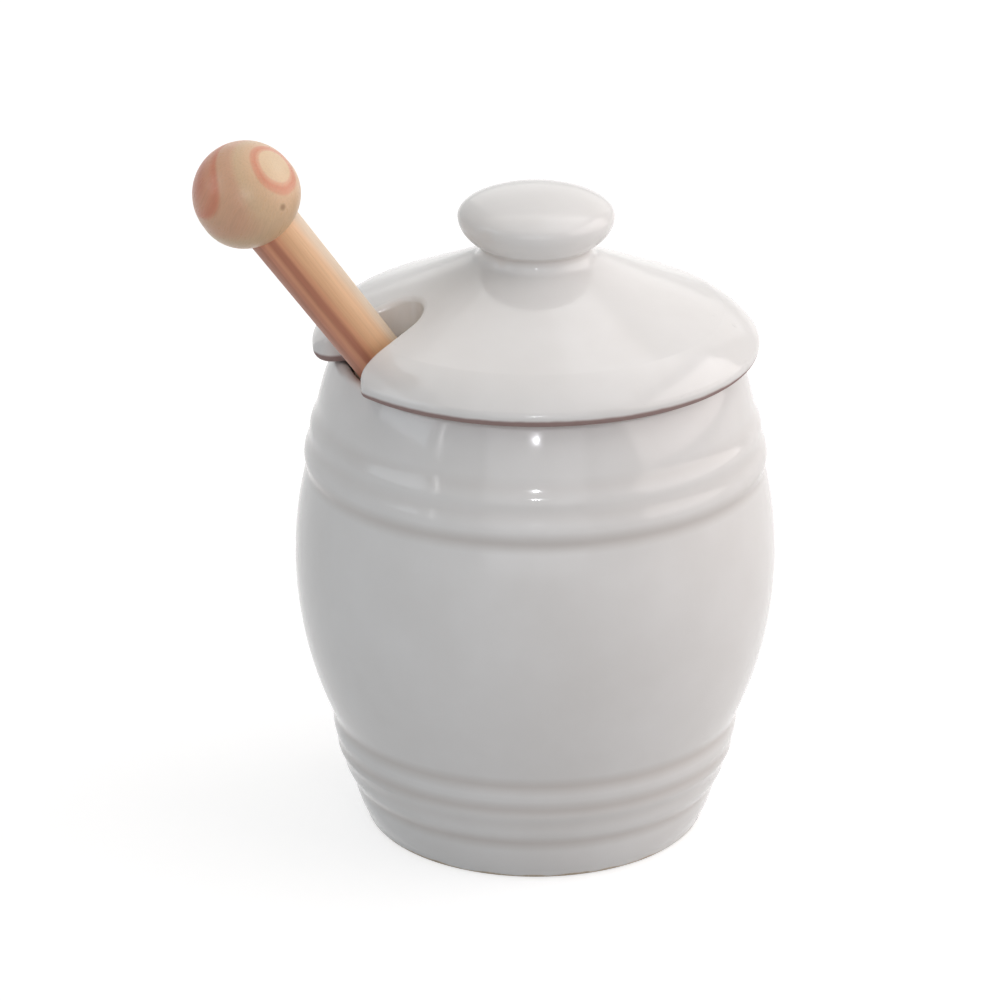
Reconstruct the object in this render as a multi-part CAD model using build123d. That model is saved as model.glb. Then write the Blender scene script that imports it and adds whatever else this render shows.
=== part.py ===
from build123d import *
from math import acos, asin, atan2, cos, degrees, radians, sin, sqrt, tan
import os

# A barrel-shaped glazed mustard pot with a lift-off notched lid and a wooden spoon that leans in the notch.
# Lengths are millimetres and angles are degrees. +Z is up, Z = 0 is the plane that the foot stands on,
# the pot's axis is the Z axis, and the lid's notch and the spoon's handle point towards -X.

# Foot of the pot
foot_radius = 30.2
foot_round = 1.5
foot_band_height = 8.3
foot_band_top_radius = 32.5
foot_band_swell = 0.35
foot_ring_width = 4.2
foot_recess_depth = 4.5
foot_recess_slope = 0.8

# Throwing ribs: their heights, from the lowest up, below and above the belly
low_rib_heights = (4.3, 3.1, 4.9)
high_rib_heights = (4.8, 4.4, 4.1)
rib_rise = 0.42
low_band_swell = 0.7
high_band_swell = 0.3
high_band_step = 0.5
high_band_top_radius = 36.9

# Belly, one round stretch between the two bands of ribs
belly_height = 47.0
belly_radius = 42.2
belly_widest = 29.1
belly_curve_radius = 69.0

# Neck, lip and inside of the pot
mouth_radius = 32.5
lip_wall = 3.0
neck_height = 4.9
neck_lean = 27.0
pot_wall = 3.5
floor_thickness = 5.3
floor_corner_radius = 14.0
throat_depth = 8.28
throat_round = 3.0

# Lid: a shallow cone with a rounded rim, and a flange that drops into the mouth
lid_seat_gap = 0.3
lid_overhang = 3.2
rim_round = 1.75
rim_slope = 50.0
dome_edge_inset = 6.2
dome_edge_rise = 7.4
dome_slope = 23.5
lid_wall = 7.0
flange_gap = 0.6
flange_wall = 3.2
flange_depth = 5.0
flange_round = 1.0

# Knob: its flared neck stands on a flat in the middle of the lid
knob_neck_radius = 9.7
knob_flare_radius = 2.4
knob_neck_height = 0.5
knob_radius = 13.5
knob_lower_height = 7.2
knob_upper_height = 4.6
knob_undercut_round = 0.6

# Notch in the lid's rim for the spoon's handle, seen from above
notch_depth = 17.1
notch_end_radius = 5.4
notch_flare = 13.5
notch_corner_radius = 3.0
notch_corner_setback = 4.2
notch_corner_turn = 60.0
notch_edge_round = 1.1

# Spoon: a turned handle that ends in a small scooped bowl
spoon_length = 144.6
handle_top_radius = 4.9
handle_neck_radius = 4.1
bowl_width = 18.0
bowl_thickness = 7.0
bowl_length = 32.0
bowl_widest = 12.5
bowl_wall = 2.7
scoop_depth = 4.0
scoop_length = 19.5
scoop_end_wall = 3.6
spoon_seat_gap = 0.3
spoon_lip_gap = 0.24
spoon_seat_angle = 40.0

# Ball on the end of the handle, bored for the handle's tenon
ball_radius = 8.95
tenon_radius = 3.0
tenon_length = 9.0
tenon_end_gap = 0.5
glue_gap = 0.05

# Heights and radii that follow from the sizes above
low_band_base = foot_band_height
belly_base = low_band_base + sum(low_rib_heights)
belly_top = belly_base + belly_height
high_band_top = belly_top + sum(high_rib_heights)
lip_round = lip_wall / 2
lip_center_height = high_band_top + neck_height
pot_height = lip_center_height + lip_round
throat_height = lip_center_height - throat_depth
lid_seat_height = pot_height + lid_seat_gap
lid_radius = mouth_radius + lip_wall + lid_overhang
notch_end_distance = lid_radius - notch_depth + notch_end_radius
dome_edge = (lid_radius - dome_edge_inset, lid_seat_height + dome_edge_rise)
knob_foot_radius = knob_neck_radius + knob_flare_radius * (1 - sin(radians(dome_slope)))
knob_seat_height = dome_edge[1] + (dome_edge[0] - knob_foot_radius) * tan(radians(dome_slope))
knob_neck_base = knob_seat_height + knob_flare_radius * cos(radians(dome_slope))
floor_height = foot_recess_depth + floor_thickness

# Circles that the inside of the pot follows: the belly's, less the wall, and the floor's round corner
belly_center = (belly_radius - belly_curve_radius, belly_base + belly_widest)
inner_radius = belly_radius - pot_wall
inner_curve_radius = belly_curve_radius - pot_wall
corner_height = floor_height + floor_corner_radius
corner_reach = inner_curve_radius - floor_corner_radius
corner_center = (
    belly_center[0] + sqrt(corner_reach**2 - (corner_height - belly_center[1]) ** 2),
    corner_height,
)


def belly_radius_at(height):
    """Outer radius of the belly's circle at a height."""
    return belly_center[0] + sqrt(belly_curve_radius**2 - (height - belly_center[1]) ** 2)


def polar(center, radius, angle):
    """Point at a distance from a centre, with the angle counted from +X towards +Z."""
    return (center[0] + radius * cos(radians(angle)), center[1] + radius * sin(radians(angle)))


def groove_points(lower, upper, swell, heights):
    """Ends of stacked ribs between two points, on a line that swells outwards in its middle."""
    points = [lower]
    climbed = 0.0
    for rib_height in heights:
        climbed += rib_height
        share = climbed / sum(heights)
        radius = lower[0] + (upper[0] - lower[0]) * share + 4 * swell * share * (1 - share)
        points.append((radius, lower[1] + climbed))
    return points


def ribs(points):
    """Convex arcs between neighbouring groove points of an outline that runs upwards."""
    for lower, upper in zip(points, points[1:]):
        SagittaArc(lower, upper, -rib_rise)


def quarter_oval(pole, side):
    """A quarter of an upright oval, from its pole on the axis to its widest point."""
    pull = 4 * (sqrt(2) - 1) / 3
    Bezier(pole, (pull * side[0], pole[1]), (side[0], side[1] + pull * (pole[1] - side[1])), side)


# Where the spoon lies: its tip in the floor's round corner, its handle against the lip
tip_round = bowl_thickness / 2
tip_center = polar(
    corner_center, floor_corner_radius - tip_round - spoon_seat_gap, spoon_seat_angle - 90
)
lip_center = (-(mouth_radius + lip_round), lip_center_height)
tip_to_lip = (lip_center[0] - tip_center[0], lip_center[1] - tip_center[1])
tip_to_lip_length = sqrt(tip_to_lip[0] ** 2 + tip_to_lip[1] ** 2)
ball_seat_distance = sqrt(ball_radius**2 - handle_top_radius**2)
bowl_top = bowl_length - tip_round
handle_end = spoon_length - ball_radius - ball_seat_distance - tip_round
lip_share = (tip_to_lip_length - bowl_top) / (handle_end - bowl_top)
handle_radius_at_lip = handle_neck_radius + (handle_top_radius - handle_neck_radius) * lip_share
lip_offset = lip_round + spoon_lip_gap + handle_radius_at_lip
spoon_lean = degrees(atan2(-tip_to_lip[0], tip_to_lip[1]) - asin(lip_offset / tip_to_lip_length))

# The spoon is drawn upright on its own axis, with its tip's centre at the origin and the scoop facing +X
spoon_place = Location((tip_center[0], 0, tip_center[1]), (0, -spoon_lean, 0))


def make_pot():
    """Body of the pot, turned about Z: foot ring, ribs, belly, neck, lip and hollow inside."""
    belly_foot = (belly_radius_at(belly_base), belly_base)
    belly_head = (belly_radius_at(belly_top), belly_top)
    low_points = groove_points(
        (foot_band_top_radius, low_band_base), belly_foot, low_band_swell, low_rib_heights
    )
    high_points = groove_points(
        (belly_head[0] + high_band_step, belly_top),
        (high_band_top_radius, high_band_top),
        high_band_swell,
        high_rib_heights,
    )
    foot_side = (foot_radius, foot_round)
    foot_edge = (foot_radius - foot_round, 0)
    ring_inside = foot_edge[0] - foot_ring_width
    recess_edge = ring_inside - foot_recess_slope
    neck_foot = (high_band_top_radius, high_band_top)
    lip_start = polar((mouth_radius + lip_round, lip_center_height), lip_round, neck_lean)
    wall_angle = degrees(
        atan2(corner_center[1] - belly_center[1], corner_center[0] - belly_center[0])
    )
    wall_middle = polar(belly_center, inner_curve_radius, wall_angle / 2)
    wall_foot = polar(belly_center, inner_curve_radius, wall_angle)
    corner_middle = polar(corner_center, floor_corner_radius, (wall_angle - 90) / 2)
    with BuildSketch(Plane.XZ) as section:
        with BuildLine():
            Line((0, foot_recess_depth), (recess_edge, foot_recess_depth))
            Line((recess_edge, foot_recess_depth), (ring_inside, 0))
            Line((ring_inside, 0), foot_edge)
            RadiusArc(foot_edge, foot_side, -foot_round)
            SagittaArc(foot_side, (foot_band_top_radius, foot_band_height), -foot_band_swell)
            ribs(low_points)
            ThreePointArc(belly_foot, (belly_radius, belly_center[1]), belly_head)
            Line(belly_head, high_points[0])
            ribs(high_points)
            TangentArc(
                lip_start, neck_foot, tangent=(sin(radians(neck_lean)), -cos(radians(neck_lean)))
            )
            ThreePointArc(
                lip_start,
                (mouth_radius + lip_round, pot_height),
                (mouth_radius, lip_center_height),
            )
            Line((mouth_radius, lip_center_height), (mouth_radius, throat_height))
            TangentArc(
                (inner_radius, belly_center[1]), (mouth_radius, throat_height), tangent=(0, 1)
            )
            ThreePointArc((inner_radius, belly_center[1]), wall_middle, wall_foot)
            ThreePointArc(wall_foot, corner_middle, (corner_center[0], floor_height))
            Line((corner_center[0], floor_height), (0, floor_height))
            Line((0, floor_height), (0, foot_recess_depth))
        make_face()
        throat = section.vertices().sort_by_distance((mouth_radius, throat_height))[0]
        fillet(throat, throat_round)
    return revolve(section.sketch, Axis.Z)


def make_lid_blank():
    """Lid before its notch is cut, turned about Z: seat, rim, dome and flange."""
    rim_center = (lid_radius - rim_round, lid_seat_height + rim_round)
    rim_top = polar(rim_center, rim_round, 90 - rim_slope)
    knob_edge = (knob_foot_radius, knob_seat_height)
    flange_outside = mouth_radius - flange_gap
    flange_inside = flange_outside - flange_wall
    flange_foot = lid_seat_height - flange_depth
    share = (flange_inside - knob_foot_radius) / (dome_edge[0] - knob_foot_radius)
    under_edge = knob_seat_height + (dome_edge[1] - knob_seat_height) * share - lid_wall
    under_top = knob_seat_height - lid_wall
    with BuildSketch(Plane.XZ) as section:
        with BuildLine():
            Line((0, under_top), (0, knob_seat_height))
            Line((0, knob_seat_height), knob_edge)
            Line(knob_edge, dome_edge)
            TangentArc(dome_edge, rim_top, tangent=(cos(radians(dome_slope)), -sin(radians(dome_slope))))
            ThreePointArc(
                rim_top,
                polar(rim_center, rim_round, -rim_slope / 2),
                (rim_center[0], lid_seat_height),
            )
            Line((rim_center[0], lid_seat_height), (flange_outside, lid_seat_height))
            Line((flange_outside, lid_seat_height), (flange_outside, flange_foot))
            Line((flange_outside, flange_foot), (flange_inside, flange_foot))
            Line((flange_inside, flange_foot), (flange_inside, under_edge))
            TangentArc((0, under_top), (flange_inside, under_edge), tangent=(1, 0))
        make_face()
        flange_corners = section.vertices().group_by(Axis.Y)[0]
        fillet(flange_corners, flange_round)
    return revolve(section.sketch, Axis.Z)


def make_notch():
    """Cutter for the notch: a round end, straight sides that open outwards and rounded rim corners."""
    flare = radians(notch_flare)
    sides = []
    for side in (1, -1):
        start = Vector(
            -(notch_end_distance - notch_end_radius * sin(flare)), side * notch_end_radius * cos(flare)
        )
        along = Vector(-cos(flare), side * sin(flare))
        across = Vector(sin(flare), side * cos(flare))
        straight = (lid_radius - notch_corner_setback + start.X) / cos(flare)
        turn_start = start + along * straight
        turn_center = turn_start + across * notch_corner_radius
        turn_end = turn_center + (
            along * sin(radians(notch_corner_turn)) - across * cos(radians(notch_corner_turn))
        ) * notch_corner_radius
        leaving = along * cos(radians(notch_corner_turn)) + across * sin(radians(notch_corner_turn))
        turn_middle = turn_center + (
            along * sin(radians(notch_corner_turn / 2)) - across * cos(radians(notch_corner_turn / 2))
        ) * notch_corner_radius
        beyond = turn_end + leaving * notch_corner_radius
        outside = Vector(-lid_radius - notch_corner_radius, beyond.Y)
        sides.append((start, turn_start, turn_middle, turn_end, beyond, outside))
    with BuildSketch() as plan:
        with BuildLine():
            for start, turn_start, turn_middle, turn_end, beyond, outside in sides:
                Line(start, turn_start)
                ThreePointArc(turn_start, turn_middle, turn_end)
                Line(turn_end, beyond)
                Line(beyond, outside)
            ThreePointArc(sides[0][0], (notch_end_radius - notch_end_distance, 0), sides[1][0])
            Line(sides[0][-1], sides[1][-1])
        make_face()
    base = lid_seat_height - flange_depth - lid_wall
    return extrude(Pos(0, 0, base) * plan.sketch, knob_seat_height + lid_wall - base)


def make_lid():
    """Lid with its notch, whose upper edges are softened."""
    lid = make_lid_blank() - make_notch()
    notch_end = (notch_end_radius - notch_end_distance, 0, knob_seat_height)
    notch_edge = lid.edges().sort_by_distance(notch_end)[0]
    return fillet(notch_edge, notch_edge_round)


def make_knob():
    """Knob, turned about Z: flared neck, undercut and flattened ball."""
    center_height = knob_neck_base + knob_neck_height + knob_lower_height * sqrt(
        1 - (knob_neck_radius / knob_radius) ** 2
    )
    start_angle = degrees(acos(knob_neck_radius / knob_radius))
    undercut = (knob_neck_radius, knob_neck_base + knob_neck_height)
    neck_foot = (knob_neck_radius, knob_neck_base)
    with BuildSketch(Plane.XZ) as section:
        with BuildLine():
            Line((0, knob_seat_height), (knob_foot_radius, knob_seat_height))
            TangentArc(neck_foot, (knob_foot_radius, knob_seat_height), tangent=(0, -1))
            Line(neck_foot, undercut)
            EllipticalCenterArc(
                (0, center_height),
                knob_radius,
                knob_lower_height,
                -start_angle,
                arc_size=start_angle,
            )
            quarter_oval((0, center_height + knob_upper_height), (knob_radius, center_height))
            Line((0, center_height + knob_upper_height), (0, knob_seat_height))
        make_face()
    knob = revolve(section.sketch, Axis.Z)
    undercut_edge = knob.edges().filter_by_position(Axis.Z, undercut[1], undercut[1])
    return fillet(undercut_edge, knob_undercut_round)


def make_spoon():
    """Handle and bowl in one piece, turned round, thinned to a blade at the bowl and scooped out."""
    tip = -tip_round
    widest = tip + bowl_widest
    half_width = bowl_width / 2
    tenon_top = handle_end + tenon_length - tenon_end_gap
    tenon_side = tenon_radius - glue_gap
    with BuildSketch(Plane.XZ) as turned:
        with BuildLine():
            quarter_oval((0, tip), (half_width, widest))
            Spline((half_width, widest), (handle_neck_radius, bowl_top), tangents=((0, 1), (0, 1)))
            Line((handle_neck_radius, bowl_top), (handle_top_radius, handle_end))
            Line((handle_top_radius, handle_end), (tenon_side, handle_end))
            Line((tenon_side, handle_end), (tenon_side, tenon_top))
            Line((tenon_side, tenon_top), (0, tenon_top))
            Line((0, tenon_top), (0, tip))
        make_face()
    blank = revolve(turned.sketch, Axis.Z)
    with BuildSketch(Plane.XZ) as side:
        with BuildLine():
            ThreePointArc((-tip_round, 0), (0, tip), (tip_round, 0))
            Line((tip_round, 0), (tip_round, widest))
            Spline((tip_round, widest), (bowl_width, bowl_top), tangents=((0, 1), (1, 1)))
            Line((bowl_width, bowl_top), (bowl_width, tenon_top))
            Line((bowl_width, tenon_top), (-bowl_width, tenon_top))
            Line((-bowl_width, tenon_top), (-bowl_width, bowl_top))
            Spline((-bowl_width, bowl_top), (-tip_round, widest), tangents=((1, -1), (0, -1)))
            Line((-tip_round, widest), (-tip_round, 0))
        make_face()
    spoon = blank & extrude(side.sketch, bowl_width, both=True)
    scoop_half_width = half_width - bowl_wall
    scoop_radius = (scoop_half_width**2 + scoop_depth**2) / (2 * scoop_depth)
    scoop_reach = scoop_length / 2 * scoop_radius / scoop_half_width
    with BuildSketch(Plane.XZ) as gouge:
        with BuildLine():
            quarter_oval((0, -scoop_reach), (scoop_radius, 0))
            quarter_oval((0, scoop_reach), (scoop_radius, 0))
            Line((0, scoop_reach), (0, -scoop_reach))
        make_face()
    scoop = revolve(gouge.sketch, Axis.Z)
    scoop_depth_axis = tip_round + scoop_radius - scoop_depth
    return spoon - Pos(scoop_depth_axis, 0, tip + scoop_end_wall + scoop_length / 2) * scoop


def make_ball():
    """Ball with a flat where the handle's shoulder seats and a blind bore for the tenon."""
    ball = Pos(0, 0, handle_end + ball_seat_distance) * Sphere(ball_radius)
    below_seat = Pos(0, 0, handle_end - ball_radius) * Cylinder(ball_radius, 2 * ball_radius)
    bore = Pos(0, 0, handle_end + tenon_length / 2) * Cylinder(tenon_radius, tenon_length)
    return ball - below_seat - bore


parts = {
    "pot": make_pot(),
    "lid": make_lid(),
    "lid_knob": make_knob(),
    "spoon": spoon_place * make_spoon(),
    "spoon_ball": spoon_place * make_ball(),
}

os.makedirs("parts", exist_ok=True)
for name, shape in parts.items():
    export_step(shape, f"parts/{name}.step")
print("spoon leans", round(spoon_lean, 2), "degrees; its tip's centre is at", tip_center)
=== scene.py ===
# %% [markdown]
# # A glazed mustard pot with a notched lid and a wooden spoon
# The object is a small barrel-shaped pot of white glazed stoneware. Its lid lifts off, and a
# wooden spoon with a ball on its end leans out through a notch in the lid's rim. The CAD model
# gives the sizes, the places and the moving bodies. This lesson gives every piece a finish, and
# every piece but the lid a finer surface, and keeps each one exactly where the CAD has it.

import math

import bmesh
import bpy
from mathutils import Matrix, Vector


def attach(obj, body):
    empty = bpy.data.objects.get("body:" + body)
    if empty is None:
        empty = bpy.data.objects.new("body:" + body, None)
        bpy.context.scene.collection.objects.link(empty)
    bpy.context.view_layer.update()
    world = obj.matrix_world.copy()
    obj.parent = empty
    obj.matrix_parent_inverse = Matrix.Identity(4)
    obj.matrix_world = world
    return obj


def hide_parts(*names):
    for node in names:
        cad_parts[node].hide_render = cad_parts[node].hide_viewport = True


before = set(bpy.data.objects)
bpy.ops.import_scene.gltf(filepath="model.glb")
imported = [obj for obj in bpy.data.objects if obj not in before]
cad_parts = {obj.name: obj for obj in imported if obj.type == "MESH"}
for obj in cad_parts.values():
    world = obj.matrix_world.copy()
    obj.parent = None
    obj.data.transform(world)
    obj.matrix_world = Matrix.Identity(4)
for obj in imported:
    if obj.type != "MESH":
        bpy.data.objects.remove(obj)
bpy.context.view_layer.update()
MM = 0.001


def in_mm(place):
    """A place in metres as a list of rounded millimetres, to be printed."""
    return [round(value / MM, 1) for value in place]


# %% [markdown]
# ## The camera
# A photograph taken from far away with a long lens shows a pot with nearly upright sides. The
# camera here stands 860 mm from the pot and looks down at it by 22 degrees, a little from the
# side where the spoon leans. Its aim is moved a few millimetres to the side, because the pot
# doesn't stand in the middle of the picture. Moving camera and aim together does that without
# any lens shift, so other views stay true.

# %% Set up the camera
view_turn = math.radians(-24)
view_rise = math.radians(22.3)
view_distance = 860 * MM
view_aim_height = 59.2 * MM
view_side_step = -6.2 * MM
to_camera = Vector(
    (
        math.sin(view_turn) * math.cos(view_rise),
        -math.cos(view_turn) * math.cos(view_rise),
        math.sin(view_rise),
    )
)
to_right = Vector((math.cos(view_turn), math.sin(view_turn), 0))
view_aim = Vector((0, 0, view_aim_height)) + view_side_step * to_right

camera_data = bpy.data.cameras.new("photo_camera")
camera_data.lens = 176.4
camera_data.sensor_width = 36
camera_data.clip_start = 0.05
camera_data.clip_end = 20
camera = bpy.data.objects.new("photo_camera", camera_data)
camera.location = view_aim + view_distance * to_camera
camera.rotation_euler = (-to_camera).to_track_quat("-Z", "Y").to_euler()
bpy.context.scene.collection.objects.link(camera)
bpy.context.scene.camera = camera
print("camera at", in_mm(camera.location))

# %% [markdown]
# ## A pen for turned profiles
# Pot, knob, ball and spoon all begin on a wheel or a lathe, so each one starts here as half an
# outline spun round an axis. The outline could be typed in as a long list of points. It is drawn
# with a pen instead: one vertex that is extruded for a straight run and spun for an arc. The
# drawing then reads like the profile itself, in millimetres, from one named place to the next. A
# place is a radius and a height, and an arc's bulge is how far its middle stands off the straight
# line.

# %% Draw with a pen
def start_pen(mesh, radius, height):
    """Puts the first vertex of a profile down."""
    return mesh.verts.new((radius, 0, height))


def run_to(mesh, pen, radius, height, steps=1):
    """Draws a straight run in equal steps and returns the vertex at its end."""
    start = pen.co.copy()
    end = Vector((radius, 0, height))
    for step in range(1, steps + 1):
        pen = bmesh.ops.extrude_vert_indiv(mesh, verts=[pen])["verts"][0]
        pen.co = start.lerp(end, step / steps)
    return pen


def arc_to(mesh, pen, radius, height, bulge, steps):
    """Draws an arc that bulges to the right of its travel, or to the left if bulge is negative."""
    start = pen.co.copy()
    chord = Vector((radius, 0, height)) - start
    side = Vector((chord.z, 0, -chord.x)).normalized()
    arc_radius = (chord.length_squared / 4 + bulge**2) / (2 * bulge)
    centre = start + chord / 2 - side * (arc_radius - bulge)
    turned = bmesh.ops.spin(
        mesh,
        geom=[pen],
        cent=centre,
        axis=(0, -1, 0),
        dvec=(0, 0, 0),
        angle=4 * math.atan(2 * bulge / chord.length),
        steps=steps,
        use_merge=False,
        use_duplicate=False,
    )
    return next(part for part in turned["geom_last"] if isinstance(part, bmesh.types.BMVert))


def ease(mesh, points, rounds):
    """Moves vertices halfway towards the middle of their neighbours, a number of times."""
    for _ in range(rounds):
        bmesh.ops.smooth_vert(
            mesh, verts=points, factor=0.5, use_axis_x=True, use_axis_y=True, use_axis_z=True
        )


def soften(mesh, corners, reach, rounds):
    """Rounds a profile within reach of some of its corners, by easing its vertices."""
    places = [Vector((radius, 0, height)) for radius, height in corners]
    near = [
        point
        for point in mesh.verts
        if any((point.co - place).length < reach for place in places)
    ]
    ease(mesh, near, rounds)
    print("softened", len(near), "points at", len(corners), "corners")


# %% Turn, place and hand over a piece
def turn_round(mesh, sides):
    """Spins a profile once round the Z axis and closes its seam and poles."""
    bmesh.ops.spin(
        mesh,
        geom=mesh.verts[:] + mesh.edges[:],
        cent=(0, 0, 0),
        axis=(0, 0, 1),
        dvec=(0, 0, 0),
        angle=math.tau,
        steps=sides,
        use_merge=True,
        use_duplicate=False,
    )
    bmesh.ops.remove_doubles(mesh, verts=mesh.verts, dist=0.001)
    bmesh.ops.recalc_face_normals(mesh, faces=mesh.faces)


def hand_over(mesh, name, body, nodes):
    """Makes an object of a mesh in millimetres, rides it on its body and replaces its nodes."""
    bmesh.ops.scale(mesh, vec=(MM, MM, MM), verts=mesh.verts)
    data = bpy.data.meshes.new(name)
    mesh.to_mesh(data)
    mesh.free()
    data.shade_smooth()
    data.set_sharp_from_angle(angle=math.radians(45))
    piece = bpy.data.objects.new(name, data)
    bpy.context.scene.collection.objects.link(piece)
    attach(piece, body)
    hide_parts(*nodes)
    print(name, "has", len(data.polygons), "faces")
    return piece


# %% [markdown]
# ## The pot
# The pot is a barrel: a plain foot, a band of low ribs, a smooth round belly, a second band of
# ribs and a short neck. The ribs are where the potter's tool pressed the clay, so each one is a
# flat arc, and the glaze has run into the grooves between them and filled their corners. The
# grooves are drawn sharp and then softened: the points near them are eased towards their
# neighbours a few times, which does what the glaze did. The heights and radii are the CAD's. Its
# topmost groove, at the foot of the neck, is left out here, because the glaze has filled it.

# %% Name the places on the pot's profile
foot_recess = (23.7, 4.5)
ring_inside = (24.5, 0)
ring_outside = (28.7, 0)
foot_edge = (30.2, 1.5)
foot_band = (32.5, 8.3)
low_grooves = ((34.28, 12.6), (35.13, 15.7), (35.76, 20.6))
belly_head = (39.84, 67.6)
high_grooves = ((40.34, 67.6), (39.37, 72.4), (38.22, 76.8))
lip_outside = (35.34, 86.48)
lip_inside = (32.5, 85.8)
throat = (32.5, 77.52)
inside_widest = (38.7, 49.7)
floor_corner = (29.82, 16.76)
floor_edge = (17.71, 9.8)
clear_grooves = (foot_band, *low_grooves[1:], belly_head)
faint_grooves = (low_grooves[0], *high_grooves[1:])
rib_bulge = 0.42

# %% Draw the pot's profile
pot_mesh = bmesh.new()
pen = start_pen(pot_mesh, 0, foot_recess[1])
pen = run_to(pot_mesh, pen, *foot_recess, steps=8)
pen = run_to(pot_mesh, pen, *ring_inside, steps=3)
pen = run_to(pot_mesh, pen, *ring_outside, steps=2)
pen = arc_to(pot_mesh, pen, *foot_edge, bulge=0.44, steps=5)
pen = arc_to(pot_mesh, pen, *foot_band, bulge=0.35, steps=16)
for groove in low_grooves:
    pen = arc_to(pot_mesh, pen, *groove, bulge=rib_bulge, steps=10)
pen = arc_to(pot_mesh, pen, *belly_head, bulge=4.16, steps=90)
pen = run_to(pot_mesh, pen, *high_grooves[0])
for groove in high_grooves[1:]:
    pen = arc_to(pot_mesh, pen, *groove, bulge=rib_bulge, steps=10)
pen = arc_to(pot_mesh, pen, *lip_outside, bulge=0.3, steps=20)
pen = arc_to(pot_mesh, pen, *lip_inside, bulge=1.15, steps=12)
soften(pot_mesh, clear_grooves, reach=1.2, rounds=5)
soften(pot_mesh, faint_grooves, reach=1.6, rounds=8)
pen = run_to(pot_mesh, pen, *throat, steps=8)
pen = arc_to(pot_mesh, pen, *inside_widest, bulge=-1.57, steps=20)
pen = arc_to(pot_mesh, pen, *floor_corner, bulge=-2.26, steps=22)
pen = arc_to(pot_mesh, pen, *floor_edge, bulge=-1.86, steps=10)
pen = run_to(pot_mesh, pen, 0, floor_edge[1], steps=6)
print("pot profile:", len(pot_mesh.verts), "points")

# %% Turn the pot
turn_round(pot_mesh, sides=240)
pot = hand_over(pot_mesh, "pot_body", "pot", ["pot"])

# %% [markdown]
# ## Where the glaze pools and shade is painted
# Glaze runs into a groove while it is molten and stands thicker there, and the groove also lies in
# shade. Both are painted into its colour: the groove is painted a little darker and warmer than
# the wall, partly as pooled glaze and partly as painted shade. Each vertex gets a number for that:
# 1 in the bottom of a clear groove, less in a faint one, and 0 a millimetre or two away. The glaze
# material reads it by name, and finds 0 on a piece that has no such number.

# %% Mark the pooled glaze and the painted shade in the grooves
def mark_pool_and_shade(piece, pool_shades, reach):
    """Writes the pooled glaze and painted shade near grooves, each given as a place and a depth.
    """
    shade_and_pool_marks = piece.data.attributes.new("pool_and_painted_shade", "FLOAT", "POINT")
    for vertex, mark in zip(piece.data.vertices, shade_and_pool_marks.data):
        radius = vertex.co.xy.length / MM
        height = vertex.co.z / MM
        mark.value = max(
            depth * max(0.0, 1 - math.hypot(radius - groove[0], height - groove[1]) / reach)
            for groove, depth in pool_shades
        )
    print(piece.name, "vertices with pooled glaze:", sum(mark.value > 0 for mark in shade_and_pool_marks.data))


# The darker colour in a groove is partly pooled glaze and partly painted shade.
clear_pool_shades = [(groove, 1.0) for groove in clear_grooves]
faint_pool_shades = [(groove, 0.3) for groove in faint_grooves]
mark_pool_and_shade(pot, clear_pool_shades + faint_pool_shades, reach=2.0)

# %% [markdown]
# ## The knob
# The knob is a flattened ball on a flared neck. It was made apart and set on the lid under one
# coat of glaze, so its neck runs out into the lid without an edge. It is drawn from the top down.
# Its two ovals are arcs of a circle, drawn with the pen and then pressed flat by scaling them
# towards the height where the knob is widest. Its undercut gets the same darker colour as the
# grooves, and there it is painted shade: the shadow under the knob's overhang.

# %% Draw and turn the knob
knob_widest = 111.99
knob_radius = 13.5
knob_upper = 4.6
knob_lower = 7.2
knob_neck_radius = 9.7
undercut_drop = 9.389
neck_foot = 106.49
flare = (11.14, 104.29)


def press_flat(mesh, before, height, share):
    """Scales the vertices drawn after a count of them towards a height."""
    bmesh.ops.scale(
        mesh,
        vec=(1, 1, share),
        space=Matrix.Translation((0, 0, -height)),
        verts=mesh.verts[before:],
    )


knob_mesh = bmesh.new()
pen = start_pen(knob_mesh, 0, knob_widest + knob_radius)
pen = arc_to(knob_mesh, pen, knob_radius, knob_widest, bulge=-3.954, steps=28)
press_flat(knob_mesh, 0, knob_widest, knob_upper / knob_radius)
drawn = len(knob_mesh.verts)
undercut_height = knob_widest - undercut_drop
pen = arc_to(knob_mesh, pen, knob_neck_radius, undercut_height, bulge=-0.986, steps=20)
press_flat(knob_mesh, drawn, knob_widest, knob_lower / knob_radius)
undercut = (pen.co.x, pen.co.z)
pen = run_to(knob_mesh, pen, knob_neck_radius, neck_foot, steps=2)
pen = arc_to(knob_mesh, pen, *flare, bulge=0.393, steps=10)
soften(knob_mesh, [undercut], reach=0.9, rounds=4)
pen = run_to(knob_mesh, pen, 0, flare[1], steps=4)
turn_round(knob_mesh, sides=180)
knob = hand_over(knob_mesh, "lid_knob_glazed", "lid", ["lid_knob"])
# The darker colour in the undercut is painted shade, the shadow under the knob's overhang.
mark_pool_and_shade(knob, [(undercut, 1.0)], reach=1.4)

# %% [markdown]
# ## The spoon's own frame
# The spoon leans, so it is easier to draw it upright on the Z axis and to place it afterwards.
# Its bowl rests in the round corner of the pot's floor and its handle against the lip. The same
# matrix places the handle and the ball, and its third column is the way the spoon points.

# %% Place the spoon
spoon_lean = math.radians(35.84)
spoon_foot = Vector((24.27, 0, 15.99))
spoon_place = Matrix.Translation(spoon_foot) @ Matrix.Rotation(-spoon_lean, 4, "Y")
spoon_axis = Vector(spoon_place.col[2][:3])
shoulder = 124.66
handle_top_radius = 4.9
print("the spoon points along", [round(value, 3) for value in spoon_axis])

# %% [markdown]
# ## The ball on the handle
# The ball was turned apart, bored and glued on the handle's tenon. It is half a circle spun
# round its own axis, with the flat seat and the blind bore drawn into its profile.

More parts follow.
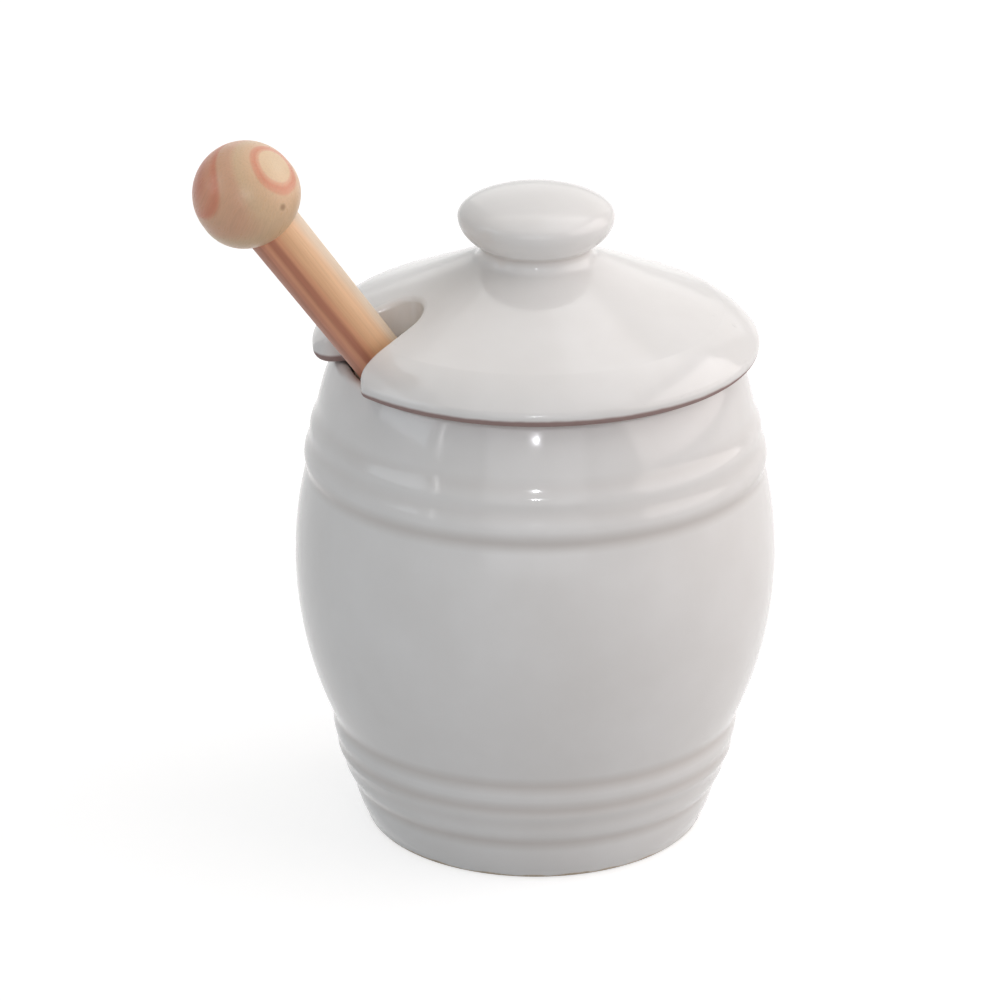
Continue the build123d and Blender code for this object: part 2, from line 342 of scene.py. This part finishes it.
# %% Draw and turn the ball
ball_radius = 8.95
ball_centre = 132.15
bore_radius = 3
bore_end = 133.66
ball_mesh = bmesh.new()
pen = start_pen(ball_mesh, 0, ball_centre + ball_radius)
pen = arc_to(ball_mesh, pen, ball_radius, ball_centre, bulge=-2.621, steps=24)
pen = arc_to(ball_mesh, pen, handle_top_radius, shoulder, bulge=-1.33, steps=16)
pen = run_to(ball_mesh, pen, bore_radius, shoulder, steps=2)
pen = run_to(ball_mesh, pen, bore_radius, bore_end, steps=4)
pen = run_to(ball_mesh, pen, 0, bore_end, steps=2)
turn_round(ball_mesh, sides=96)
bmesh.ops.transform(ball_mesh, matrix=spoon_place, verts=ball_mesh.verts)
ball = hand_over(ball_mesh, "spoon_ball_wood", "spoon", ["spoon_ball"])

# %% [markdown]
# ## The handle and its bowl
# Handle and bowl are one piece of wood. The whole spoon is turned round first, with a fat oval
# end. That end is then thinned to a blade, as a carver does who takes two flat cuts off it, and
# the hollow of the bowl is scooped out of its upper side. A little easing at the end takes the
# sharpness off the carved edges, as sandpaper does.

# %% Turn the spoon blank
bowl_tip = -3.5
bowl_widest = 9.0
bowl_half_width = 9.0
bowl_waist = (6.55, 18.75)
handle_foot = (4.1, 28.5)
tenon_radius = 2.95
tenon_end = 133.16
spoon_mesh = bmesh.new()
pen = start_pen(spoon_mesh, 0, bowl_widest - bowl_half_width)
pen = arc_to(spoon_mesh, pen, bowl_half_width, bowl_widest, bulge=2.636, steps=24)
press_flat(spoon_mesh, 0, bowl_widest, (bowl_widest - bowl_tip) / bowl_half_width)
pen = arc_to(spoon_mesh, pen, *bowl_waist, bulge=0.622, steps=16)
pen = arc_to(spoon_mesh, pen, *handle_foot, bulge=-0.622, steps=16)
pen = run_to(spoon_mesh, pen, handle_top_radius, shoulder, steps=32)
pen = run_to(spoon_mesh, pen, tenon_radius, shoulder, steps=2)
pen = run_to(spoon_mesh, pen, tenon_radius, tenon_end, steps=4)
pen = run_to(spoon_mesh, pen, 0, tenon_end, steps=2)
turn_round(spoon_mesh, sides=96)
print("spoon blank:", len(spoon_mesh.faces), "faces")

# %% Thin the bowl to a blade
bowl_top = handle_foot[1]
blade_half_thickness = 3.5
blade_run_out = 14.5
run_out_power = 2.4
cut_sharpness = 8


def cut_back(across, limit):
    """A distance from the axis, kept under a limit with a soft turn where the cut begins."""
    return across / (1 + abs(across / limit) ** cut_sharpness) ** (1 / cut_sharpness)


for corner in spoon_mesh.verts:
    if corner.co.z < bowl_top:
        rise = max(0.0, (corner.co.z - bowl_widest) / (bowl_top - bowl_widest))
        limit = blade_half_thickness + blade_run_out * rise**run_out_power
        corner.co.x = cut_back(corner.co.x, limit)
spoon_mesh.normal_update()

# %% Scoop the bowl out
scoop_radius = 6.96
scoop_half_length = 10.77
scoop_middle = Vector((6.46, 0, 9.85))
least_upward = 0.5
fine_faces_end = 24
upper = [
    face
    for face in spoon_mesh.faces
    if face.normal.x > least_upward and face.calc_center_median().z < fine_faces_end
]
upper_edges = list({edge for face in upper for edge in face.edges})
bmesh.ops.subdivide_edges(spoon_mesh, edges=upper_edges, cuts=2, use_grid_fill=True)
scooped = []
for corner in spoon_mesh.verts:
    reach = (
        1
        - (corner.co.y / scoop_radius) ** 2
        - ((corner.co.z - scoop_middle.z) / scoop_half_length) ** 2
    )
    floor_of_scoop = scoop_middle.x - scoop_radius * math.sqrt(max(0.0, reach))
    if corner.co.x > max(0.0, floor_of_scoop):
        corner.co.x = floor_of_scoop
        scooped.append(corner)
eased = list({edge.other_vert(corner) for corner in scooped for edge in corner.link_edges})
ease(spoon_mesh, eased, rounds=3)
print("vertices in the scoop:", len(scooped))

# %% Lay the spoon in the pot
bmesh.ops.recalc_face_normals(spoon_mesh, faces=spoon_mesh.faces)
bmesh.ops.transform(spoon_mesh, matrix=spoon_place, verts=spoon_mesh.verts)
spoon = hand_over(spoon_mesh, "spoon_wood", "spoon", ["spoon"])

# %% [markdown]
# ## Helpers for node trees
# A material is a tree of nodes. A few small helpers keep the trees readable. One starts a node
# group with named sockets, and one adds a node with its options and its unlinked values. The
# others add a colour ramp and start a material. A Mix node has sockets for every kind of value
# under the same names, so its colour sockets are reached by number.

# %% Write the helpers
MIX_FACTOR = 0
MIX_FIRST = 6
MIX_SECOND = 7
MIX_RESULT = 2


def new_group(name, inputs, outputs):
    """Starts a shader node group; an input is a name, a kind and a value."""
    group = bpy.data.node_groups.new(name, "ShaderNodeTree")
    for label, kind, value in inputs:
        socket = group.interface.new_socket(name=label, in_out="INPUT", socket_type=kind)
        if value is not None:
            socket.default_value = value
    for label, kind in outputs:
        group.interface.new_socket(name=label, in_out="OUTPUT", socket_type=kind)
    return group


def add_node(tree, kind, options=None, values=None):
    """Adds a shader node, sets its options and the values of its inputs by name or number."""
    node = tree.nodes.new("ShaderNode" + kind)
    for option, value in (options or {}).items():
        setattr(node, option, value)
    for label, value in (values or {}).items():
        node.inputs[label].default_value = value
    return node


def add_ramp(tree, stops, smooth="LINEAR"):
    """Adds a colour ramp with stops of a place and a colour."""
    node = add_node(tree, "ValToRGB")
    node.color_ramp.interpolation = smooth
    for place, colour in stops[1:-1]:
        node.color_ramp.elements.new(place).color = (*colour, 1)
    for element, (place, colour) in zip((0, -1), (stops[0], stops[-1])):
        node.color_ramp.elements[element].position = place
        node.color_ramp.elements[element].color = (*colour, 1)
    return node


def new_material(name):
    """Starts a material and returns it with its tree and its shader."""
    material = bpy.data.materials.new(name)
    material.use_nodes = True
    return material, material.node_tree, material.node_tree.nodes["Principled BSDF"]


# %% [markdown]
# ## White glaze
# The glaze is a thick, white, glassy coat. What makes it look like glaze and not like plastic is
# small: the wall under it is slightly wavy, and its skin has a very fine orange peel and a few
# pinholes. In the grooves it is painted a little greyer and warmer, partly where it has run thick
# and partly as painted shade. All of that is tied to the object itself, so it stays put when the
# camera or the lid moves.

# %% Build the glaze skin group
skin = new_group(
    "glaze_skin",
    (("Vector", "NodeSocketVector", None), ("Wave size", "NodeSocketFloat", 30.0)),
    (
        ("Height", "NodeSocketFloat"),
        ("Tone", "NodeSocketFloat"),
        ("Gloss", "NodeSocketFloat"),
    ),
)
skin_in = skin.nodes.new("NodeGroupInput")
skin_out = skin.nodes.new("NodeGroupOutput")
wave = add_node(skin, "TexNoise", None, {"Detail": 1.0, "Roughness": 0.4})
peel = add_node(skin, "TexNoise", None, {"Scale": 420.0, "Detail": 2.0, "Roughness": 0.5})
tone = add_node(skin, "TexNoise", None, {"Scale": 55.0, "Detail": 3.0, "Roughness": 0.55})
pits = add_node(skin, "TexVoronoi", None, {"Scale": 160.0})
pit_edge = add_node(
    skin, "MapRange", None, {"From Min": 0.03, "From Max": 0.1, "To Min": -0.35, "To Max": 0.0}
)
pit_pick = add_node(skin, "TexNoise", None, {"Scale": 90.0, "Detail": 0.0})
pit_few = add_node(
    skin, "MapRange", None, {"From Min": 0.66, "From Max": 0.7, "To Min": 0.0, "To Max": 1.0}
)
pit_depth = add_node(skin, "Math", {"operation": "MULTIPLY"})
small = add_node(skin, "Math", {"operation": "MULTIPLY_ADD"}, {1: 0.05})
height = add_node(skin, "Math", {"operation": "ADD"})
for texture in (wave, peel, tone, pits, pit_pick):
    skin.links.new(skin_in.outputs["Vector"], texture.inputs["Vector"])
skin.links.new(skin_in.outputs["Wave size"], wave.inputs["Scale"])
skin.links.new(pits.outputs["Distance"], pit_edge.inputs["Value"])
skin.links.new(pit_pick.outputs[0], pit_few.inputs["Value"])
skin.links.new(pit_edge.outputs[0], pit_depth.inputs[0])
skin.links.new(pit_few.outputs[0], pit_depth.inputs[1])
skin.links.new(peel.outputs[0], small.inputs[0])
skin.links.new(wave.outputs[0], small.inputs[2])
skin.links.new(small.outputs[0], height.inputs[0])
skin.links.new(pit_depth.outputs[0], height.inputs[1])
skin.links.new(height.outputs[0], skin_out.inputs["Height"])
skin.links.new(tone.outputs[0], skin_out.inputs["Tone"])
skin.links.new(peel.outputs[0], skin_out.inputs["Gloss"])
print("the glaze skin has", len(skin.nodes), "nodes")

# %% Mix the white glaze
glaze, tree, shader = new_material("white_glaze")
place = add_node(tree, "TexCoord")
patch = add_node(tree, "Group", {"node_tree": skin}, {"Wave size": 28.0})
colour = add_ramp(tree, ((0.3, (0.79, 0.78, 0.765)), (0.7, (0.835, 0.83, 0.82))))
# The groove colour mixed in here is partly pooled glaze and partly painted shade in the grooves.
pool_shade_mark = add_node(tree, "Attribute", {"attribute_name": "pool_and_painted_shade"})
pool_shade_share = add_node(tree, "Math", {"operation": "MULTIPLY"}, {1: 0.7})
pool_shade_colour = add_node(tree, "Mix", {"data_type": "RGBA"}, {MIX_SECOND: (0.60, 0.555, 0.52, 1)})
gloss = add_node(
    tree, "MapRange", None, {"From Min": 0.3, "From Max": 0.7, "To Min": 0.07, "To Max": 0.16}
)
relief = add_node(tree, "Bump", None, {"Strength": 0.35, "Distance": 0.0006})
tree.links.new(place.outputs["Object"], patch.inputs["Vector"])
tree.links.new(patch.outputs["Tone"], colour.inputs[0])
tree.links.new(pool_shade_mark.outputs["Fac"], pool_shade_share.inputs[0])
tree.links.new(pool_shade_share.outputs[0], pool_shade_colour.inputs[MIX_FACTOR])
tree.links.new(colour.outputs["Color"], pool_shade_colour.inputs[MIX_FIRST])
tree.links.new(patch.outputs["Gloss"], gloss.inputs["Value"])

# %% [markdown]
# ## The bare foot
# A glazed foot would melt on to the kiln's shelf, so the potter wipes the foot ring clean. The
# bare clay is a warm sand colour, dull, and rough under a finger. Its upper edge is not a ruled
# line, so a little noise is added to the height before the step from clay to glaze.

# %% Leave the foot ring bare
foot_wander = 0.0012
foot_clay_ends = 0.0012
foot_glaze_full = 0.0015
split = add_node(tree, "SeparateXYZ")
ragged = add_node(tree, "TexNoise", None, {"Scale": 240.0, "Detail": 2.0})
edge_height = add_node(tree, "Math", {"operation": "MULTIPLY_ADD"}, {1: foot_wander})
bare = add_node(
    tree,
    "MapRange",
    {"interpolation_type": "SMOOTHSTEP"},
    {"From Min": foot_clay_ends, "From Max": foot_glaze_full, "To Min": 1.0, "To Max": 0.0},
)
sand = add_node(tree, "TexNoise", None, {"Scale": 1500.0, "Detail": 3.0, "Roughness": 0.7})
clay = add_ramp(tree, ((0.35, (0.55, 0.45, 0.34)), (0.65, (0.70, 0.61, 0.49))))
skin_colour = add_node(tree, "Mix", {"data_type": "RGBA"})
skin_gloss = add_node(tree, "Mix", {"data_type": "FLOAT"}, {3: 0.82})
grit = add_node(tree, "Math", {"operation": "MULTIPLY"})
raised = add_node(tree, "Math", {"operation": "MULTIPLY_ADD"}, {1: 0.3})
tree.links.new(place.outputs["Object"], split.inputs[0])
tree.links.new(place.outputs["Object"], ragged.inputs["Vector"])
tree.links.new(place.outputs["Object"], sand.inputs["Vector"])
tree.links.new(ragged.outputs[0], edge_height.inputs[0])
tree.links.new(split.outputs["Z"], edge_height.inputs[2])
tree.links.new(edge_height.outputs[0], bare.inputs["Value"])
tree.links.new(sand.outputs[0], clay.inputs[0])
tree.links.new(bare.outputs[0], skin_colour.inputs[MIX_FACTOR])
tree.links.new(pool_shade_colour.outputs[MIX_RESULT], skin_colour.inputs[MIX_FIRST])
tree.links.new(clay.outputs["Color"], skin_colour.inputs[MIX_SECOND])
tree.links.new(bare.outputs[0], skin_gloss.inputs[MIX_FACTOR])
tree.links.new(gloss.outputs[0], skin_gloss.inputs[2])
tree.links.new(sand.outputs[0], grit.inputs[0])
tree.links.new(bare.outputs[0], grit.inputs[1])
tree.links.new(grit.outputs[0], raised.inputs[0])
tree.links.new(patch.outputs["Height"], raised.inputs[2])
tree.links.new(raised.outputs[0], relief.inputs["Height"])
tree.links.new(skin_colour.outputs[MIX_RESULT], shader.inputs["Base Color"])
tree.links.new(skin_gloss.outputs[0], shader.inputs["Roughness"])
tree.links.new(relief.outputs["Normal"], shader.inputs["Normal"])
shader.inputs["IOR"].default_value = 1.5
print("the pot's glaze is full from about", round(foot_glaze_full / MM, 1), "mm up")

# %% [markdown]
# ## The lid's bare seat
# In the kiln the lid stood on its flange, beside the pot, so its flange and the underside of its
# rim were wiped clean. On the rim's bare lower edge a dark brown band is painted: it is painted
# shade, the shadow in the gap between the lid and the pot, and shows as a thin dark line under
# the rim. The lid's glaze is a copy of the pot's in which the clay ends at another height, with
# the painted shade added.

# %% Make the lid's glaze
lid_wander = 0.0004
# Above these heights the rim's bare edge is painted dark brown: painted shade of the gap under the
# lid.
lid_gap_shade_begins = 0.0868
lid_gap_shade_full = 0.0876
lid_clay_ends = 0.0889
lid_glaze_full = 0.0895
lid_glaze = glaze.copy()
lid_glaze.name = "white_glaze_lid"
tree = lid_glaze.node_tree
lid_height = tree.nodes[edge_height.name]
lid_height.inputs[1].default_value = lid_wander
lid_clay = tree.nodes[bare.name]
lid_clay.inputs["From Min"].default_value = lid_clay_ends
lid_clay.inputs["From Max"].default_value = lid_glaze_full
# The dark brown band is painted shade, the shadow in the gap between the lid and the pot.
gap_shade_band = add_node(
    tree, "MapRange", None, {"From Min": lid_gap_shade_begins, "From Max": lid_gap_shade_full}
)
brown = add_node(tree, "Mix", {"data_type": "RGBA"}, {MIX_SECOND: (0.33, 0.23, 0.215, 1)})
tree.links.new(lid_height.outputs[0], gap_shade_band.inputs["Value"])
tree.links.new(gap_shade_band.outputs[0], brown.inputs[MIX_FACTOR])
tree.links.new(tree.nodes[clay.name].outputs["Color"], brown.inputs[MIX_FIRST])
tree.links.new(brown.outputs[MIX_RESULT], tree.nodes[skin_colour.name].inputs[MIX_SECOND])
print("the lid's glaze is full from about", round(lid_glaze_full / MM, 1), "mm up")

# %% Glaze the pot, the lid and the knob
for piece, coat in ((pot, glaze), (knob, glaze), (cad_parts["lid"], lid_glaze)):
    piece.data.materials.clear()
    piece.data.materials.append(coat)
    print(piece.name, "wears", coat.name)

# %% [markdown]
# ## Wood in growth layers
# A tree grows in layers round its pith: pale in spring, red and hard in autumn. A turned handle
# cuts through them lengthwise, so they show as stripes, and a ball cuts them into arcs. The group
# measures how far each point lies from the pith, lets that distance wander a little, and adds
# fine fibres that run along the pith. Each piece of wood then gives its own colours to its layers.

# %% Build the growth layer group
layers = new_group(
    "growth_layers",
    (
        ("Vector", "NodeSocketVector", None),
        ("Reach", "NodeSocketFloat", 0.01),
        ("Wander", "NodeSocketFloat", 0.001),
    ),
    (("Layer", "NodeSocketFloat"), ("Fibre", "NodeSocketFloat")),
)
layers_in = layers.nodes.new("NodeGroupInput")
layers_out = layers.nodes.new("NodeGroupOutput")
stretch = add_node(layers, "Mapping", {"vector_type": "POINT"}, {"Scale": (1.0, 1.0, 0.35)})
drift = add_node(layers, "TexNoise", None, {"Scale": 90.0, "Detail": 2.0, "Roughness": 0.5})
centred = add_node(layers, "Math", {"operation": "SUBTRACT"}, {1: 0.5})
wander = add_node(layers, "Math", {"operation": "MULTIPLY"})
flat = add_node(layers, "VectorMath", {"operation": "MULTIPLY"}, {1: (1.0, 1.0, 0.0)})
distance = add_node(layers, "VectorMath", {"operation": "LENGTH"})
moved = add_node(layers, "Math", {"operation": "ADD"})
layer = add_node(layers, "Math", {"operation": "DIVIDE", "use_clamp": True})
thread = add_node(layers, "Mapping", {"vector_type": "POINT"}, {"Scale": (1.0, 1.0, 0.03)})
fibre = add_node(layers, "TexNoise", None, {"Scale": 2600.0, "Detail": 3.0, "Roughness": 0.6})
layers.links.new(layers_in.outputs["Vector"], stretch.inputs["Vector"])
layers.links.new(stretch.outputs[0], drift.inputs["Vector"])
layers.links.new(drift.outputs[0], centred.inputs[0])
layers.links.new(centred.outputs[0], wander.inputs[0])
layers.links.new(layers_in.outputs["Wander"], wander.inputs[1])
layers.links.new(layers_in.outputs["Vector"], flat.inputs[0])
layers.links.new(flat.outputs[0], distance.inputs[0])
layers.links.new(distance.outputs["Value"], moved.inputs[0])
layers.links.new(wander.outputs[0], moved.inputs[1])
layers.links.new(moved.outputs[0], layer.inputs[0])
layers.links.new(layers_in.outputs["Reach"], layer.inputs[1])
layers.links.new(layers_in.outputs["Vector"], thread.inputs["Vector"])
layers.links.new(thread.outputs[0], fibre.inputs["Vector"])
layers.links.new(layer.outputs[0], layers_out.inputs["Layer"])
layers.links.new(fibre.outputs[0], layers_out.inputs["Fibre"])
print("the growth layers have", len(layers.nodes), "nodes")


# %% Finish a piece of wood
def wood(name, pith, layering, shine, stops):
    """Wood whose pith is the Z axis of a matrix, with its colours given from the pith outwards."""
    material, tree, shader = new_material(name)
    turn = pith.inverted()
    place = add_node(tree, "TexCoord")
    mapped = add_node(
        tree,
        "Mapping",
        {"vector_type": "POINT"},
        {"Location": turn.to_translation(), "Rotation": turn.to_euler()},
    )
    rings = add_node(tree, "Group", {"node_tree": layers}, layering)
    colour = add_ramp(tree, stops, "EASE")
    dark = add_node(
        tree, "MapRange", None, {"From Min": 0.3, "From Max": 0.7, "To Min": 0.93, "To Max": 1.05}
    )
    fibrous = add_node(
        tree, "Mix", {"data_type": "RGBA", "blend_type": "MULTIPLY"}, {MIX_FACTOR: 1.0}
    )
    gloss = add_node(
        tree,
        "MapRange",
        None,
        {"From Min": 0.3, "From Max": 0.7, "To Min": shine[0], "To Max": shine[1]},
    )
    relief = add_node(tree, "Bump", None, {"Strength": 0.3, "Distance": 0.0002})
    tree.links.new(place.outputs["Object"], mapped.inputs["Vector"])
    tree.links.new(mapped.outputs[0], rings.inputs["Vector"])
    tree.links.new(rings.outputs["Layer"], colour.inputs[0])
    tree.links.new(rings.outputs["Fibre"], dark.inputs["Value"])
    tree.links.new(colour.outputs["Color"], fibrous.inputs[MIX_FIRST])
    tree.links.new(dark.outputs[0], fibrous.inputs[MIX_SECOND])
    tree.links.new(rings.outputs["Fibre"], gloss.inputs["Value"])
    tree.links.new(rings.outputs["Fibre"], relief.inputs["Height"])
    tree.links.new(fibrous.outputs[MIX_RESULT], shader.inputs["Base Color"])
    tree.links.new(gloss.outputs[0], shader.inputs["Roughness"])
    tree.links.new(relief.outputs["Normal"], shader.inputs["Normal"])
    return material


# %% Say where a pith runs
to_up = to_camera.cross(to_right).normalized()


def as_seen(right, up, near):
    """A step as the camera sees it: to its right, upwards and towards it."""
    return right * to_right + up * to_up + near * to_camera


def pith_frame(point, along):
    """A matrix whose Z axis runs along the pith through a point, in metres."""
    return Matrix.Translation(point) @ along.to_track_quat("Z", "Y").to_matrix().to_4x4()


# %% Choose the ball's wood
ball_point = spoon_place @ Vector((0, 0, ball_centre)) * MM
pith_point = ball_point + as_seen(4.9, 3.8, 5.0) * MM
ball_pith = pith_frame(pith_point, as_seen(0.37, 0.732, 0.572))
ball_layering = {"Reach": 0.012, "Wander": 0.0012}
ball_stops = (
    (0.0, (0.80, 0.61, 0.40)),
    (0.235, (0.80, 0.58, 0.37)),
    (0.275, (0.76, 0.40, 0.25)),
    (0.315, (0.72, 0.30, 0.18)),
    (0.36, (0.73, 0.34, 0.21)),
    (0.4, (0.75, 0.50, 0.31)),
    (0.56, (0.71, 0.49, 0.30)),
    (0.66, (0.71, 0.41, 0.26)),
    (0.76, (0.73, 0.43, 0.27)),
    (0.8, (0.70, 0.26, 0.15)),
    (0.86, (0.72, 0.33, 0.20)),
    (0.92, (0.66, 0.24, 0.14)),
    (1.0, (0.62, 0.28, 0.17)),
)
ball_wood = wood("ball_wood", ball_pith, ball_layering, (0.36, 0.25), ball_stops)
ball.data.materials.append(ball_wood)
print("the ball's pith passes through", in_mm(pith_point))

# %% Choose the handle's wood
handle_pith_away = 30 * MM
low_left = spoon_axis.cross(to_camera).normalized()
if low_left.z > 0:
    low_left = -low_left
handle_pith_point = spoon_foot * MM - handle_pith_away * low_left
handle_pith = pith_frame(handle_pith_point, spoon_axis)
handle_layering = {"Reach": 0.036, "Wander": 0.0012}
handle_stops = (
    (0.0, (0.80, 0.62, 0.42)),
    (0.717, (0.82, 0.66, 0.50)),
    (0.775, (0.84, 0.53, 0.31)),
    (0.833, (0.80, 0.47, 0.26)),
    (0.864, (0.74, 0.36, 0.20)),
    (0.883, (0.50, 0.19, 0.11)),
    (0.897, (0.50, 0.19, 0.11)),
    (0.916, (0.74, 0.35, 0.20)),
    (0.93, (0.66, 0.28, 0.17)),
    (0.945, (0.50, 0.20, 0.12)),
    (1.0, (0.55, 0.23, 0.13)),
)
handle_wood = wood("handle_wood", handle_pith, handle_layering, (0.52, 0.36), handle_stops)
spoon.data.materials.append(handle_wood)
print("the handle's pith passes through", in_mm(handle_pith_point))

# %% [markdown]
# ## A knot
# A twig no thicker than a pin once grew where the ball is. It left a knot: a small brown spot
# with a soft edge, which is painted over the wood by its distance from one point on the ball.

# %% Leave a small knot in the ball
knot_point = ball_point + as_seen(6.3, -2.5, 5.8) * MM
tree = ball_wood.node_tree
wood_colour = tree.nodes["Principled BSDF"].inputs["Base Color"]
under_knot = wood_colour.links[0].from_socket
place = add_node(tree, "TexCoord")
away = add_node(tree, "VectorMath", {"operation": "DISTANCE"}, {1: knot_point})
spot = add_node(
    tree,
    "MapRange",
    {"interpolation_type": "SMOOTHSTEP"},
    {"From Min": 0.0002, "From Max": 0.0009, "To Min": 0.7, "To Max": 0.0},
)
knotted = add_node(tree, "Mix", {"data_type": "RGBA"}, {MIX_SECOND: (0.30, 0.16, 0.08, 1)})
tree.links.new(place.outputs["Object"], away.inputs[0])
tree.links.new(away.outputs["Value"], spot.inputs["Value"])
tree.links.new(spot.outputs[0], knotted.inputs[MIX_FACTOR])
tree.links.new(under_knot, knotted.inputs[MIX_FIRST])
tree.links.new(knotted.outputs[MIX_RESULT], wood_colour)
print("the knot is at", in_mm(knot_point))

# %% [markdown]
# ## The floor and the room
# The pot stands on a plain pale floor. Rays that come from the camera, that a glossy surface
# sends on or that pass through a clear one see the room white, so the pot stands on white. The
# light on the pot itself comes from the lamps, and the floor stays a real surface that takes the
# pot's shadow. The lamps light the floor near the pot best, so for those rays it also glows, and
# more the farther out it lies.

# %% Tell the rays apart
def showing_rays(tree):
    """Adds nodes that give 1 for rays that show the background as such, and 0 for all others."""
    ray = add_node(tree, "LightPath")
    seen = add_node(tree, "Math", {"operation": "MAXIMUM"})
    seen_through = add_node(tree, "Math", {"operation": "MAXIMUM"})
    tree.links.new(ray.outputs["Is Camera Ray"], seen.inputs[0])
    tree.links.new(ray.outputs["Is Glossy Ray"], seen.inputs[1])
    tree.links.new(seen.outputs[0], seen_through.inputs[0])
    tree.links.new(ray.outputs["Is Transmission Ray"], seen_through.inputs[1])
    return seen_through.outputs[0]


# %% Lay the floor
floor_radius = 3
floor_glow = {"From Min": 0.35, "From Max": 1.4, "To Min": 0.68, "To Max": 0.98}
floor_mesh = bmesh.new()
bmesh.ops.create_circle(floor_mesh, cap_ends=True, segments=96, radius=floor_radius)
floor_data = bpy.data.meshes.new("studio_floor")
floor_mesh.to_mesh(floor_data)
floor_mesh.free()
floor = bpy.data.objects.new("studio_floor", floor_data)
bpy.context.scene.collection.objects.link(floor)
floor_paint, tree, shader = new_material("floor_paint")
shader.inputs["Base Color"].default_value = (0.5, 0.5, 0.5, 1)
shader.inputs["Roughness"].default_value = 0.9
shader.inputs["Emission Color"].default_value = (1, 1, 1, 1)
shown = showing_rays(tree)
place = add_node(tree, "TexCoord")
far_out = add_node(tree, "VectorMath", {"operation": "LENGTH"})
lift = add_node(tree, "MapRange", None, floor_glow)
glow = add_node(tree, "Math", {"operation": "MULTIPLY"})
tree.links.new(place.outputs["Object"], far_out.inputs[0])
tree.links.new(far_out.outputs["Value"], lift.inputs["Value"])
tree.links.new(shown, glow.inputs[0])
tree.links.new(lift.outputs[0], glow.inputs[1])
tree.links.new(glow.outputs[0], shader.inputs["Emission Strength"])
floor.data.materials.append(floor_paint)
print("the floor is", 2 * floor_radius, "m wide")

# %% Paint the room
room_light = {"To Min": 0.02, "To Max": 1.0}
world = bpy.data.worlds.new("studio_room")
bpy.context.scene.world = world
world.use_nodes = True
room = world.node_tree
back = room.nodes["Background"]
level = add_node(room, "MapRange", None, room_light)
room.links.new(showing_rays(room), level.inputs["Value"])
room.links.new(level.outputs[0], back.inputs["Strength"])
back.inputs["Color"].default_value = (1, 1, 1, 1)
print("the room lights the pot with a strength of", room_light["To Min"])

# %% [markdown]
# ## The lamps
# White glaze shows what stands round it, so each lamp is something in a room. Seen from the
# camera, the window and the skylight are on the right, a doorway is behind the pot, a cooler
# lamp is on the left and a wide one hangs over all. A narrow strip on the left, like the gap
# between two curtains, draws a thin streak. The wide front lamp fills the shadows, and the flash
# is so small that it leaves a point of light on the rounded parts that face the camera.

# %% Hang the lamps
lamp_aim = Vector((0, 0, 60 * MM))


def hang_lamp(name, turn, rise, far, size, power, colour):
    """Hangs a soft lamp of a width and height round the pot, turned from the camera's side."""
    angle = view_turn + math.radians(turn)
    up = math.radians(rise)
    way = Vector((math.sin(angle) * math.cos(up), -math.cos(angle) * math.cos(up), math.sin(up)))
    data = bpy.data.lights.new(name, "AREA")
    data.shape = "RECTANGLE"
    data.size, data.size_y = size
    data.energy = power
    data.color = colour
    lamp = bpy.data.objects.new(name, data)
    lamp.location = lamp_aim + far * way
    lamp.rotation_euler = (-way).to_track_quat("-Z", "Y").to_euler()
    bpy.context.scene.collection.objects.link(lamp)
    print(name, "shines with", power, "W from", round(far, 2), "m")


hang_lamp("window", 88, 24, 0.85, (1.2, 0.7), 4.3, (1.0, 0.92, 0.89))
hang_lamp("skylight", 100, 54, 1.2, (1.2, 1.2), 2.7, (0.97, 0.96, 1.0))
hang_lamp("doorway", 172, 40, 1.1, (1.07, 1.27), 1.9, (1.0, 0.98, 0.96))
hang_lamp("ceiling", 0, 89, 1.4, (2.0, 2.0), 8.9, (1.0, 0.95, 0.9))
hang_lamp("left", -75, 25, 1.2, (0.7, 0.7), 2.2, (0.84, 0.93, 1.0))
hang_lamp("gap", -51, 16, 1.0, (0.03, 0.35), 0.12, (1.0, 1.0, 1.0))
hang_lamp("front", 0, 18, 1.3, (1.2, 1.2), 3.9, (0.96, 0.97, 1.0))
hang_lamp("flash", 0, 21, 0.9, (0.012, 0.012), 0.45, (0.94, 0.95, 1.0))

# %% [markdown]
# ## Colours as they are written
# The Standard view shows each colour as it is, without the soft shoulder that a film look puts
# on bright parts. White glaze then stays white, as long as the lamps don't push it past 1.

# %% Choose the plain view
bpy.context.scene.view_settings.view_transform = "Standard"
print("view transform:", bpy.context.scene.view_settings.view_transform)
